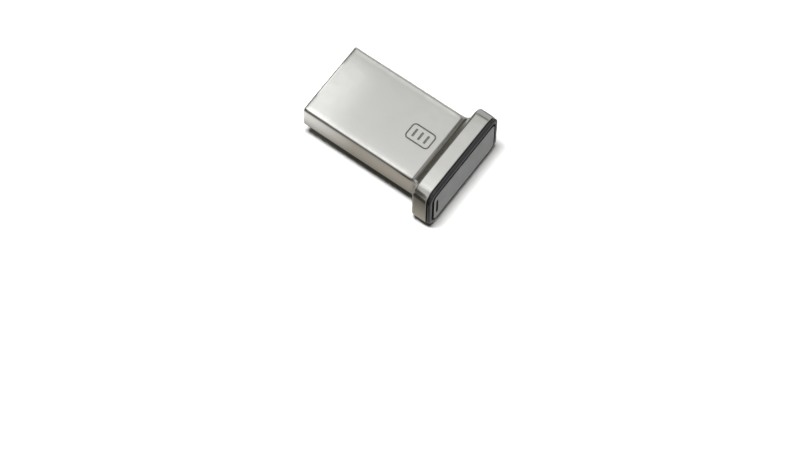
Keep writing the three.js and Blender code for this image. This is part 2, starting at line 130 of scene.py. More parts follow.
# -------------------------------------------------------------------------- mesh code
def outline(half_u, half_v, corner, steps=CORNER_STEPS):
    """Points of a round-cornered rectangle, anticlockwise, with points on its straight sides."""
    points = []
    sides = ((1, 1), (-1, 1), (-1, -1), (1, -1))
    for quadrant, (side_u, side_v) in enumerate(sides):
        centre_u = side_u * (half_u - corner)
        centre_v = side_v * (half_v - corner)
        for i in range(steps + 1):
            turn = (quadrant + i / steps) * math.pi / 2
            points.append((centre_u + corner * math.cos(turn), centre_v + corner * math.sin(turn)))
        next_u, next_v = sides[(quadrant + 1) % 4]
        start = points[-1]
        turn = (quadrant + 1) * math.pi / 2
        end = (
            next_u * (half_u - corner) + corner * math.cos(turn),
            next_v * (half_v - corner) + corner * math.sin(turn),
        )
        for share in SIDE_SHARES:
            points.append(
                (start[0] + (end[0] - start[0]) * share, start[1] + (end[1] - start[1]) * share)
            )
    return points


def across(x, half_width, half_height, corner, steps=CORNER_STEPS):
    """A round-cornered ring across the drive at one place along it."""
    return [place(x, u, v) for u, v in outline(half_width, half_height, corner, steps)]


def crown(ring, flat_half, width, drop):
    """Eases the two wide faces down by a hair towards their long edges, as a casting's are."""
    for point in ring:
        reach = (min(abs(point.y) / MM, flat_half) - flat_half + width) / width
        side = 1 if point.z > AXIS_Z else -1
        point.z -= side * drop * MM * max(0.0, reach) ** 2
    return ring


def flat_ring(z, half_length, half_width, corner, centre=(0, 0), steps=CORNER_STEPS):
    """A round-cornered ring that lies level, at a height above the centre line."""
    return [
        place(centre[0] + u, centre[1] + v, z)
        for u, v in outline(half_length, half_width, corner, steps)
    ]


def skin(name, rings, loop=False):
    """A closed mesh through rings of equal point count. A loop joins the last ring to the first."""
    made = bmesh.new()
    rows = [[made.verts.new(point) for point in ring] for ring in rings]
    pairs = list(zip(rows, rows[1:]))
    if loop:
        pairs.append((rows[-1], rows[0]))
    else:
        made.faces.new(rows[0])
        made.faces.new(rows[-1])
    count = len(rows[0])
    for low, high in pairs:
        for i in range(count):
            j = (i + 1) % count
            made.faces.new((low[i], low[j], high[j], high[i]))
    bmesh.ops.recalc_face_normals(made, faces=made.faces)
    return to_object(name, made)


def to_object(name, made):
    """A scene object from a bmesh, which is then freed."""
    mesh = bpy.data.meshes.new(name)
    made.to_mesh(mesh)
    made.free()
    piece = bpy.data.objects.new(name, mesh)
    bpy.context.scene.collection.objects.link(piece)
    return piece


def cut_away(piece, cutters):
    """Subtracts each cutter for good. A cut face keeps its cutter's material."""
    for cutter in cutters:
        change = piece.modifiers.new("cut", "BOOLEAN")
        change.operation = "DIFFERENCE"
        change.solver = "EXACT"
        change.material_mode = "TRANSFER"
        change.object = cutter
    bake_modifiers(piece)
    for cutter in cutters:
        bpy.data.objects.remove(cutter)


def bake_modifiers(piece):
    """Makes the modifiers' result the piece's own mesh."""
    graph = bpy.context.evaluated_depsgraph_get()
    mesh = bpy.data.meshes.new_from_object(piece.evaluated_get(graph), depsgraph=graph)
    piece.modifiers.clear()
    piece.data = mesh


def bevel(piece, width, segments, angle=35):
    """A bevel of width millimetres on every edge sharper than the angle."""
    change = piece.modifiers.new("bevel", "BEVEL")
    change.width = width * MM
    change.segments = segments
    change.limit_method = "ANGLE"
    change.angle_limit = math.radians(angle)
    change.harden_normals = False


def finish_surface(piece, sharp_angle=SHARP_ANGLE):
    """Smooth shading that breaks at real corners, with flat faces kept flat."""
    made = bmesh.new()
    made.from_mesh(piece.data)
    for face in made.faces:
        face.smooth = True
    for edge in made.edges:
        if len(edge.link_faces) == 2:
            edge.smooth = edge.calc_face_angle() < math.radians(sharp_angle)
    made.to_mesh(piece.data)
    made.free()
    weighted = piece.modifiers.new("weighted", "WEIGHTED_NORMAL")
    weighted.keep_sharp = True
    weighted.weight = FLAT_WEIGHT


# -------------------------------------------------------------------------- materials
NICKEL = (0.6, 0.602, 0.59)
NICKEL_WORN = (0.76, 0.755, 0.74)
NICKEL_ROUGH = (0.17, 0.21)
PANEL_GREY = (0.205, 0.216, 0.214)


class Surface:
    """A node material: a Principled shader with procedural colour, roughness and relief."""

    def __init__(self, name, colour, roughness, metallic=0.0):
        self.material = bpy.data.materials.new(name)
        self.material.use_nodes = True
        self.tree = self.material.node_tree
        self.shader = self.tree.nodes["Principled BSDF"]
        self.shader.inputs["Base Color"].default_value = (*colour, 1)
        self.shader.inputs["Roughness"].default_value = roughness
        self.shader.inputs["Metallic"].default_value = metallic
        self.place = self.tree.nodes.new("ShaderNodeTexCoord").outputs["Object"]
        self.relief = None

    def node(self, kind, **settings):
        made = self.tree.nodes.new(kind)
        for key, value in settings.items():
            setattr(made, key, value)
        return made

    def link(self, source, target):
        self.tree.links.new(source, target)

    def noise(self, size_mm, detail=3, stretch=(1, 1, 1), offset=0.0):
        """Noise from 0 to 1 whose blotches are about size_mm wide."""
        mapping = self.node("ShaderNodeMapping")
        mapping.inputs["Scale"].default_value = [share / (size_mm * MM) for share in stretch]
        mapping.inputs["Location"].default_value = (offset, offset, offset)
        self.link(self.place, mapping.inputs["Vector"])
        texture = self.node("ShaderNodeTexNoise")
        texture.inputs["Scale"].default_value = 1
        texture.inputs["Detail"].default_value = detail
        self.link(mapping.outputs["Vector"], texture.inputs["Vector"])
        return texture.outputs["Fac"]

    def to_range(self, value, low, high, source=(0.3, 0.7)):
        ranger = self.node("ShaderNodeMapRange")
        ranger.inputs["From Min"].default_value = source[0]
        ranger.inputs["From Max"].default_value = source[1]
        ranger.inputs["To Min"].default_value = low
        ranger.inputs["To Max"].default_value = high
        self.link(value, ranger.inputs["Value"])
        return ranger.outputs["Result"]

    def math(self, operation, first, second=None):
        made = self.node("ShaderNodeMath", operation=operation)
        for socket, value in zip(made.inputs, (first, second)):
            if value is None:
                continue
            if isinstance(value, (int, float)):
                socket.default_value = value
            else:
                self.link(value, socket)
        return made.outputs["Value"]

    def mix_colours(self, factor, first, second):
        mix = self.node("ShaderNodeMix", data_type="RGBA")
        for socket, value in ((mix.inputs[6], first), (mix.inputs[7], second)):
            if isinstance(value, tuple):
                socket.default_value = (*value, 1)
            else:
                self.link(value, socket)
        self.link(factor, mix.inputs[0])
        return mix.outputs[2]

    def set_colour(self, value):
        self.link(value, self.shader.inputs["Base Color"])

    def set_roughness(self, value):
        self.link(value, self.shader.inputs["Roughness"])

    def bump(self, height, depth_mm, strength=1.0):
        made = self.node("ShaderNodeBump")
        made.inputs["Strength"].default_value = strength
        made.inputs["Distance"].default_value = depth_mm * MM
        self.link(height, made.inputs["Height"])
        if self.relief is not None:
            self.link(self.relief, made.inputs["Normal"])
        self.relief = made.outputs["Normal"]
        self.link(self.relief, self.shader.inputs["Normal"])


def varied(name, colour, roughness, metallic=0.0, grain_mm=0.08, depth_mm=0.004, spread=0.12):
    """The common finish: blotchy colour, uneven roughness and a fine grain."""
    surface = Surface(name, colour, roughness, metallic)
    blotch = surface.noise(2.5)
    dark = tuple(channel * (1 - spread) for channel in colour)
    light = tuple(min(1.0, channel * (1 + spread)) for channel in colour)
    surface.set_colour(surface.mix_colours(surface.to_range(blotch, 0, 1), dark, light))
    rough = surface.noise(0.6, offset=3.1)
    surface.set_roughness(surface.to_range(rough, roughness * 0.85, roughness * 1.15))
    surface.bump(surface.noise(grain_mm, detail=2), depth_mm)
    return surface


# Where the plating is rubbed, in millimetres: where the wear starts and where it is full.
WEAR_IN_FROM_SIDE = (1.1, 0.3)
WEAR_IN_FROM_FACE = (0.35, 0.05)
WEAR_FROM_TIP = (0.45, 0.05)
WEAR_END = (0.0, 1.0)  # ahead of the neck


def plug_edge_wear(surface):
    """1 along the plug's long edges and tip, where the plating is rubbed, 0 elsewhere."""
    split = surface.node("ShaderNodeSeparateXYZ")
    surface.link(surface.place, split.inputs["Vector"])
    side = surface.math("ABSOLUTE", split.outputs["Y"])
    height = surface.math("ABSOLUTE", surface.math("SUBTRACT", split.outputs["Z"], AXIS_Z))
    side_range = [(PLUG_HALF_WIDTH - inward) * MM for inward in WEAR_IN_FROM_SIDE]
    face_range = [(PLUG_HALF_HEIGHT - inward) * MM for inward in WEAR_IN_FROM_FACE]
    near_side = surface.to_range(side, 0, 1, side_range)
    near_face = surface.to_range(height, 0, 1, face_range)
    long_edge = surface.math("MULTIPLY", near_side, near_face)
    tip_range = (TIP_X + WEAR_FROM_TIP[1] * MM, TIP_X + WEAR_FROM_TIP[0] * MM)
    tip = surface.to_range(split.outputs["X"], 1, 0, tip_range)
    patchy = surface.to_range(surface.noise(0.9, detail=4, offset=7.7), 0.4, 1)
    end_range = [TIP_X + (NECK_START - ahead) * MM for ahead in reversed(WEAR_END)]
    on_plug = surface.to_range(split.outputs["X"], 1, 0, end_range)
    rubbed = surface.math("MULTIPLY", surface.math("MAXIMUM", long_edge, tip), patchy)
    return surface.math("MULTIPLY", rubbed, on_plug)


def satin_nickel():
    """Bead-blasted nickel plating: faint clouds in its gloss, and brighter where it is rubbed."""
    surface = Surface("satin_nickel", NICKEL, 0.3, 1.0)
    wear = plug_edge_wear(surface)
    blotch = surface.to_range(surface.noise(4.0, detail=2), 0, 1)
    cool = tuple(channel * 0.97 for channel in NICKEL)
    tone = surface.mix_colours(blotch, cool, NICKEL)
    surface.set_colour(surface.mix_colours(wear, tone, NICKEL_WORN))
    cloud = surface.to_range(surface.noise(1.4, detail=4, offset=2.0), *NICKEL_ROUGH)
    smooth = surface.math("MULTIPLY", wear, 0.08)
    surface.set_roughness(surface.math("SUBTRACT", cloud, smooth))
    surface.bump(surface.noise(0.09, detail=1), 0.0003)
    surface.bump(surface.noise(0.9, detail=2, stretch=(0.4, 1, 1), offset=5.0), 0.0008)
    return surface.material


def etched_nickel():
    """The darker floor of the engraved sign."""
    return varied("etched_nickel", (0.3, 0.295, 0.28), 0.48, 1.0, 0.03, 0.003).material


def gloss_black():
    """Piano black with soft smears in its gloss."""
    surface = Surface("gloss_black", (0.007, 0.007, 0.008), 0.08)
    surface.shader.inputs["Specular IOR Level"].default_value = 0.42
    smear = surface.noise(1.2, detail=5, stretch=(1, 0.5, 1))
    surface.set_roughness(surface.to_range(smear, 0.06, 0.14))
    surface.set_colour(
        surface.mix_colours(surface.to_range(smear, 0, 1), (0.005, 0.005, 0.006), (0.009, 0.009, 0.01))
    )
    surface.bump(surface.noise(0.8, detail=2), 0.0006)
    return surface.material


def grey_panel():
    """Fine satin grey with a faint blotch."""
    surface = Surface("grey_panel", PANEL_GREY, 0.35)
    blotch = surface.to_range(surface.noise(1.8, detail=3), 0, 1)
    lighter = tuple(channel * 1.12 for channel in PANEL_GREY)
    surface.set_colour(surface.mix_colours(blotch, PANEL_GREY, lighter))
    surface.set_roughness(surface.to_range(surface.noise(0.5, detail=4, offset=4), 0.3, 0.42))
    surface.bump(surface.noise(0.05, detail=1), 0.0008)
    return surface.material


def solder_mask():
    """Green mask over copper tracks that run along the tongue, over a faint glass weave."""
    surface = Surface("solder_mask", (0.008, 0.045, 0.022), 0.3)
    tracks = surface.node("ShaderNodeTexWave", wave_type="BANDS", bands_direction="Y")
    tracks.inputs["Scale"].default_value = 420
    tracks.inputs["Distortion"].default_value = 0.6
    tracks.inputs["Detail"].default_value = 1
    surface.link(surface.place, tracks.inputs["Vector"])
    track = surface.to_range(tracks.outputs["Fac"], 0, 1, (0.62, 0.7))
    surface.set_colour(surface.mix_colours(track, (0.006, 0.035, 0.017), (0.014, 0.075, 0.032)))
    surface.set_roughness(surface.to_range(surface.noise(0.4), 0.22, 0.36))
    surface.bump(track, 0.02, 0.5)
    surface.bump(surface.noise(0.12, detail=2), 0.002)
    return surface.material


def gold():
    """Gold with fine scratches along the way that the plug slides. It is a little less than fully
    metallic, so that it still shows deep in the dark mouth."""
    surface = Surface("gold_plating", (0.95, 0.68, 0.28), 0.22, 0.75)
    scratch = surface.noise(0.06, detail=3, stretch=(0.03, 1, 1))
    blotch = surface.to_range(surface.noise(1.0), 0, 1)
    surface.set_colour(surface.mix_colours(blotch, (0.88, 0.6, 0.22), (0.98, 0.72, 0.32)))
    surface.set_roughness(surface.to_range(scratch, 0.24, 0.36))
    surface.bump(scratch, 0.0004)
    return surface.material


def moulded_black():
    """Black plastic with a fine moulded grain."""
    return varied("moulded_black", (0.018, 0.018, 0.02), 0.5, 0.0, 0.06, 0.004).material


def silicon():
    """A dark mirror with the faint grid of its memory blocks."""
    surface = Surface("silicon", (0.07, 0.075, 0.09), 0.15, 0.6)
    blocks = surface.node("ShaderNodeTexBrick")
    blocks.inputs["Scale"].default_value = 900
    blocks.inputs["Mortar Size"].default_value = 0.03
    blocks.inputs["Color1"].default_value = (0.06, 0.065, 0.085, 1)
    blocks.inputs["Color2"].default_value = (0.09, 0.085, 0.11, 1)
    blocks.inputs["Mortar"].default_value = (0.02, 0.02, 0.024, 1)
    surface.link(surface.place, blocks.inputs["Vector"])
    surface.set_colour(blocks.outputs["Color"])
    surface.set_roughness(surface.to_range(surface.noise(0.7), 0.12, 0.22))
    return surface.material


def smoked_plastic():
    """The light window's plastic, dark while it is unlit."""
    surface = Surface("smoked_plastic", (0.012, 0.013, 0.015), 0.16)
    haze = surface.noise(0.4, detail=3)
    surface.set_colour(
        surface.mix_colours(surface.to_range(haze, 0, 1), (0.008, 0.009, 0.01), (0.02, 0.021, 0.024))
    )
    surface.set_roughness(surface.to_range(haze, 0.12, 0.22))
    surface.bump(haze, 0.0005)
    return surface.material


SLOT_MATERIALS = {
    "satin_nickel": satin_nickel(),
    "black_plastic": moulded_black(),
    "board_laminate": solder_mask(),
    "gold_plating": gold(),
    "silicon": silicon(),
    "moulding_compound": varied("moulding_compound", (0.014, 0.014, 0.016), 0.6, 0, 0.05, 0.006).material,
    "tinned_steel": varied("tinned_steel", (0.55, 0.55, 0.53), 0.3, 1.0, 0.1, 0.002).material,
    "ceramic": varied("ceramic", (0.36, 0.24, 0.13), 0.55, 0, 0.05, 0.004).material,
    "resistor_black": varied("resistor_black", (0.015, 0.016, 0.018), 0.35, 0, 0.05, 0.002).material,
    "spring_steel": varied("spring_steel", (0.58, 0.57, 0.53), 0.28, 1.0, 0.1, 0.001).material,
    "led_resin": varied("led_resin", (0.78, 0.75, 0.6), 0.3, 0, 0.1, 0.002).material,
    "smoked_clear_plastic": smoked_plastic(),
    "black_rubber": varied("black_rubber", (0.008, 0.008, 0.008), 0.75, 0, 0.08, 0.006).material,
    "gloss_black": gloss_black(),
    "adhesive_tape": varied("adhesive_tape", (0.66, 0.66, 0.61), 0.6, 0, 0.1, 0.004).material,
    "grey_panel": grey_panel(),
}
ETCHED = etched_nickel()
# Near black, darker than the black plastic, so that the groove round the panel and the window's slot read
# dark: painted shade.
PANEL_SIDE_PAINTED_SHADE = varied("panel_side_painted_shade", (0.004, 0.004, 0.005), 0.7, 0, 0.05, 0.003).material


# ---------------------------------------------------------------- the visible pieces
def quarter(steps):
    """Angles from 0 to a right angle."""
    return [math.pi / 2 * i / steps for i in range(steps + 1)]


def cast_body():
    """The one-piece casting: tip, plug, hollow neck, head, pocket and the bore back to the tip."""
    plug = (PLUG_HALF_WIDTH, PLUG_HALF_HEIGHT, PLUG_CORNER)
    head = (HEAD_HALF_WIDTH, HEAD_HALF_HEIGHT, HEAD_CORNER)
    bore = (PLUG_HALF_WIDTH - SIDE_WALL, PLUG_HALF_HEIGHT - FACE_WALL, BORE_CORNER)
    pocket = (HEAD_HALF_WIDTH - HEAD_WALL, HEAD_HALF_HEIGHT - HEAD_WALL, POCKET_CORNER)

    def ring(x, base, inset=0.0):
        return across(x, *(size - inset for size in base))

    def crowned(x, base, inset=0.0):
        shape = HEAD_CROWN if base is head else PLUG_CROWN
        return crown(ring(x, base, inset), base[0] - inset - base[2], *shape)

    rings = []
    for t in quarter(6):
        x = PLUG_TIP_ROUND * (1 - math.cos(t))
        rings.append(crowned(x, plug, PLUG_TIP_ROUND * (1 - math.sin(t))))
    for x in PLUG_STATIONS:
        rings.append(crowned(x, plug))
    for t in quarter(16):
        x = HEAD_BACK - NECK_LENGTH * (1 - math.sin(t))
        rings.append(crowned(x, plug, -NECK_RISE * (1 - math.cos(t))))
    for t in quarter(8):
        x = HEAD_BACK + HEAD_BACK_ROUND * (1 - math.cos(t))
        rings.append(crowned(x, head, HEAD_BACK_ROUND * (1 - math.sin(t))))
    for t in quarter(4):
        x = HEAD_FRONT - HEAD_FRONT_ROUND * (1 - math.sin(t))
        rings.append(crowned(x, head, HEAD_FRONT_ROUND * (1 - math.cos(t))))
    pocket_back = HEAD_BACK + HEAD_WALL
    rings.append(ring(HEAD_FRONT, pocket, -POCKET_LIP))
    rings.append(ring(HEAD_FRONT - POCKET_LIP, pocket))
    rings.append(ring(pocket_back, pocket))
    rings.append(ring(pocket_back, bore))
    rings.append(ring(BORE_STATION, bore))
    rings.append(ring(POCKET_LIP, bore))
    rings.append(ring(0.0, bore, -POCKET_LIP / 2))
    body = skin("cast_body", rings, loop=True)
    body.data.materials.append(SLOT_MATERIALS["satin_nickel"])
    body.data.materials.append(ETCHED)
    cut_away(body, emblem_cutters())
    finish_surface(body)
    return body


def emblem_cutters():
    """Tools for a neutral memory-chip sign: a sunk frame line and three bars."""
    top = PLUG_HALF_HEIGHT
    slope = EMBLEM_SLOPE
    frame_size = (EMBLEM_HALF_LENGTH, EMBLEM_HALF_WIDTH, EMBLEM_CORNER)

    def ring(z, grow, base=frame_size, x=EMBLEM_X, steps=SMALL_CORNER_STEPS):
        return flat_ring(z, *(size + grow for size in base), (x, 0), steps)

    frame_rings = [
        ring(top - EMBLEM_DEPTH, 0),
        ring(top - slope, 0),
        ring(top + slope, 2 * slope),
        ring(top + slope, -EMBLEM_LINE - 2 * slope),
        ring(top - slope, -EMBLEM_LINE),
        ring(top - EMBLEM_DEPTH, -EMBLEM_LINE),
    ]
    frame_line = skin("emblem_frame_tool", frame_rings, loop=True)
    frame_line.data.materials.append(ETCHED)
    tools = [frame_line]
    pitch = 2 * EMBLEM_HALF_LENGTH / (EMBLEM_BARS + 1)
    for number in range(EMBLEM_BARS):
        x = EMBLEM_X + (number - (EMBLEM_BARS - 1) / 2) * pitch
        levels = ((top - EMBLEM_DEPTH, 0), (top - slope, 0), (top + slope, slope))
        rings = [ring(z, grow, EMBLEM_BAR, x, 4) for z, grow in levels]
        bar = skin(f"emblem_bar_tool_{number}", rings)
        bar.data.materials.append(ETCHED)
        tools.append(bar)
    return tools


def window_cutter(x0, x1):
    """The narrow slot for the light window, slightly larger than the window itself."""
    half_width = (window_high.y - window_low.y) / 2 / MM + WINDOW_CLEARANCE
    half_height = (window_high.z - window_low.z) / 2 / MM + WINDOW_CLEARANCE
    centre_y = (window_low.y + window_high.y) / 2 / MM
    rings = []
    for x in (x0, x1):
        points = outline(half_width, half_height, half_width - 0.01, 6)  # almost fully round ends
        rings.append([place(x, centre_y + u, v) for u, v in points])
    return skin("window_tool", rings)


def bezel_ring():
    """The black ring round the panel, with a round outer front edge and a crisp groove."""
    back = (bezel_low.x - TIP_X) / MM
    flange = HEAD_FRONT + BEZEL_GAP
    bed = flange + BEZEL_PLATE
    rim = (bezel_high.y / MM, (bezel_high.z - AXIS_Z) / MM, BEZEL_CORNER)
    inward = HEAD_WALL + SPIGOT_FIT
    spigot = (HEAD_HALF_WIDTH - inward, HEAD_HALF_HEIGHT - inward, POCKET_CORNER)
    panel = (panel_high.y / MM, (panel_high.z - AXIS_Z) / MM, PANEL_CORNER)

    def ring(x, base, inset=0.0):
        return across(x, *(size - inset for size in base))

    rings = [ring(bed, panel, -PANEL_GROOVE)]
    rings.append(ring(BEZEL_FRONT - GROOVE_LIP, panel, -PANEL_GROOVE))
    rings.append(ring(BEZEL_FRONT, panel, -PANEL_GROOVE - GROOVE_LIP))
    for t in reversed(quarter(8)):
        x = BEZEL_FRONT - BEZEL_FRONT_ROUND * (1 - math.sin(t))
        rings.append(ring(x, rim, BEZEL_FRONT_ROUND * (1 - math.cos(t))))
    rings.append(ring(flange + BEZEL_BACK_ROUND, rim))
    rings.append(ring(flange, rim, BEZEL_BACK_ROUND))
    rings.append(ring(flange, spigot))
    rings.append(ring(back, spigot))
    rings.append(ring(back, spigot, SPIGOT_WALL))
    rings.append(ring(flange - SPIGOT_HOLLOW, spigot, SPIGOT_WALL))
    ringed = skin("bezel_ring", rings)
    ringed.data.materials.append(SLOT_MATERIALS["gloss_black"])
    cut_away(ringed, [window_cutter(back - 1, LENGTH)])
    finish_surface(ringed)
    return ringed


def panel_plate():
    """The grey end panel with an eased edge and the slot for the light window."""
    base = (panel_high.y / MM, (panel_high.z - AXIS_Z) / MM, PANEL_CORNER)
    back = (panel_low.x - TIP_X) / MM
    front = (panel_high.x - TIP_X) / MM
    rings = [across(back, *base)]
    for t in reversed(quarter(4)):
        inset = PANEL_EDGE * (1 - math.cos(t))
        x = front - PANEL_EDGE * (1 - math.sin(t))
        rings.append(across(x, *(size - inset for size in base)))
    plate = skin("panel_plate", rings)
    plate.data.materials.append(SLOT_MATERIALS["grey_panel"])
    cut_away(plate, [window_cutter(back - 1, front + 1)])
    plate.data.materials.append(PANEL_SIDE_PAINTED_SHADE)
    # Faces that don't face along the drive, the groove walls and the slot's walls, get the painted shade.
    for face in plate.data.polygons:
        faces_out = abs(face.normal.x) >= 0.9
        face.material_index = 0 if faces_out else 1
    finish_surface(plate)
    return plate


def contact_blade(node):
    """A gold contact with rounded ends and a softly domed upper face."""
    low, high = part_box(node)
    centre_x = ((low.x + high.x) / 2 - TIP_X) / MM
    centre_y = (low.y + high.y) / 2 / MM
    half_length = (high.x - low.x) / 2 / MM
    half_width = (high.y - low.y) / 2 / MM
    bottom = (low.z - AXIS_Z) / MM
    top = (high.z - AXIS_Z) / MM
    base = (half_length, half_width, CONTACT_CORNER)

    def ring(z, inset):
        shape = (size - inset for size in base)
        return flat_ring(z, *shape, (centre_x, centre_y), SMALL_CORNER_STEPS)

    rings = [ring(bottom, 0.0)]
    for t in quarter(5):
        share = CONTACT_SIDE + (1 - CONTACT_SIDE) * math.sin(t)
        rings.append(ring(bottom + (top - bottom) * share, CONTACT_DOME * (1 - math.cos(t))))
    blade = skin(node + "_blade", rings)
    blade.data.materials.append(SLOT_MATERIALS["gold_plating"])
    finish_surface(blade, CONTACT_SHARP_ANGLE)
    return blade


VISIBLE_PIECES = [
    (cast_body(), "metal_body", "satin_nickel"),
    (bezel_ring(), "end_bezel", "gloss_black"),
    (panel_plate(), "end_panel", "grey_panel"),
]
for contact in ("contact_power", "contact_data_minus", "contact_data_plus", "contact_ground"):
    VISIBLE_PIECES.append((contact_blade(contact), contact, "gold_plating"))

for piece, node, slot in VISIBLE_PIECES:
    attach(piece, "root")
    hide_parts(node)

# The CAD pieces that stay get a detailed material, and a fine bevel where they can be seen.
replaced = {node for _, node, _ in VISIBLE_PIECES}
slot_of = {entry["node"]: entry["material_slot"] for entry in frame["record"]["subparts"]}
EDGE_WIDTHS = {"plug_carrier": 0.06, "circuit_board": 0.03, "plug_stop": 0.05, "light_pipe": 0.03}
SMALL_PART_EDGE = 0.015
for node, part in frame["nodes"].items():
    if node in replaced:
        continue
    part.data.materials.clear()
    part.data.materials.append(SLOT_MATERIALS[slot_of[node]])
    bevel(part, EDGE_WIDTHS.get(node, SMALL_PART_EDGE), 2)


# ------------------------------------------------------------------------------ stage
FLOOR_GAP = 0.02  # the floor lies this far under the head, clear of its faces
FLOOR_GREY = 0.45
SHEET_HALF = 0.9  # metres
SHEET_CELLS = 6
WALL_RADIUS = 0.85  # metres
WALL_STEPS = 64
WALL_HEIGHTS = (-HEAD_HALF_HEIGHT - FLOOR_GAP, 400, 1200)

# The glowing sheet's colours, a painted reflection of the floor with painted shadows and a painted
# highlight in it. Each range says where a colour starts and where it is full, along the drive from
# its tip or across it from its centre line, in millimetres.
CARD_WARM = (0.52, 0.475, 0.41)
CARD_FAR = (0.34, 0.34, 0.34)
FAR_RANGE = (4, 8)
# Painted highlight in the reflections: the sheet glows brightest round the plug's tip.
CARD_TIP = (1.25, 1.24, 1.2)
TIP_RANGE = (7, -1.5)
CARD_FRONT = (0.48, 0.48, 0.475)
BEYOND_TIP_RANGE = (-2.5, -6)
BEYOND_PANEL_RANGE = (-0.2, 0.0)  # from the panel's face
# Painted shadow in the reflections: a dark strip beside the plug's near side.
CARD_EDGE_PAINTED_SHADOW = (0.27, 0.25, 0.22)
EDGE_OUTER_RANGE = (-HEAD_HALF_WIDTH, -6.6)
EDGE_INNER_RANGE = (-PLUG_HALF_WIDTH + 1, -PLUG_HALF_WIDTH)
CARD_SIDE = (0.36, 0.35, 0.33)
SIDE_RANGE = (-8.2, -11.5)
CARD_DARK_PAINTED_LANE = (0.055, 0.052, 0.042)  # a painted dark slanted lane through the side's colour, seen in reflections
LANE_X = 8.7  # from the frame's origin, where the lane meets the head's near side
LANE_LEAN = 0.3
LANE_RANGE = (6, 4)  # from the lane's middle
# The sheet's glow under the drive, a painted shadow in the reflections.
PAINTED_SHADOW_BRIGHTNESS = 0.02
PAINTED_SHADOW_INSET = (0.3, 0.1)  # the painted shadow under the head, in from its sides and from the panel

# Level cards over the drive: height, range along X, range along Y, brightness.
CEILING_CARDS = {
    "top_card": (300, (-137, 60), (100, 178), 0.87),
    "edge_card": (300, (-137, 60), (30, 100), 1.35),
    "shoulder_card": (300, (-137, 60), (-75, 30), 1.1),
    "corner_card": (300, (-137, 60), (-420, -75), 0.65),
    "tip_card": (40, (-28, -19), (-15, 20), 0.55),
}
# Cards round the drive, seen only in reflections: direction, distance, width, height, brightness.
SHINE_CARDS = {
    "far_card": ((-0.31, 0.855, 0.41), 300, 300, 268, 0.5),
    "right_card": ((1.0, 0.0, 0.38), 500, 860, 400, 0.6),
    "front_card": ((0.45, -1.0, 0.42), 500, 500, 400, 0.65),
    "back_card": ((0.52, 1.0, 0.42), 500, 440, 400, 0.6),
    "mouth_card": ((-0.966, -0.259, 0.36), 500, 330, 380, 0.55),
    "neck_card": ((-0.74, 0.38, 0.56), 300, 110, 22, 0.4),
}
# Lights for matt surfaces, with their fields in the same order.
TABLE_LIGHT = ((-0.08, -0.055, 1.0), 600, 96, 250, 146.0)
MOUTH_LIGHT = ((-1.0, -0.1, 0.3), 200, 90, 60, 40.0)
ROOM_COLOUR = (1.0, 0.93, 0.72)
ROOM_STRENGTH = 0.1

CAMERA_PLACE = Vector((120.81, -172.47, 415.21))
CAMERA_AZIMUTH = -54.904  # degrees, from +X towards +Y
CAMERA_ELEVATION = 64.482
CAMERA_ROLL = 1.086
CAMERA_LENS = 157.4


def floor_material():
    """Pale matt paper with a very faint mottle."""
    surface = Surface("studio_floor", (FLOOR_GREY,) * 3, 0.6)
    surface.shader.inputs["Specular IOR Level"].default_value = 0.2
    grain = surface.to_range(surface.noise(6.0, detail=3), 0, 1)
    surface.set_colour(surface.mix_colours(grain, (FLOOR_GREY - 0.005,) * 3, (FLOOR_GREY + 0.005,) * 3))
    return surface.material


def sheet(name, height, material):
    """A wide level sheet, part of the stage, at a height from the centre line."""
    half = SHEET_HALF
    cells = SHEET_CELLS
    made = bmesh.new()
    grid = []
    for i in range(cells + 1):
        for j in range(cells + 1):
            step = Vector((-half + 2 * half * i / cells, -half + 2 * half * j / cells, 0))
            grid.append(made.verts.new(place(LENGTH / 2, 0, height) + step))
    for i in range(cells):
        for j in range(cells):
            a = i * (cells + 1) + j
            made.faces.new((grid[a], grid[a + cells + 1], grid[a + cells + 2], grid[a + 1]))
    laid = to_object(name, made)
    laid.data.materials.append(material)
    return laid


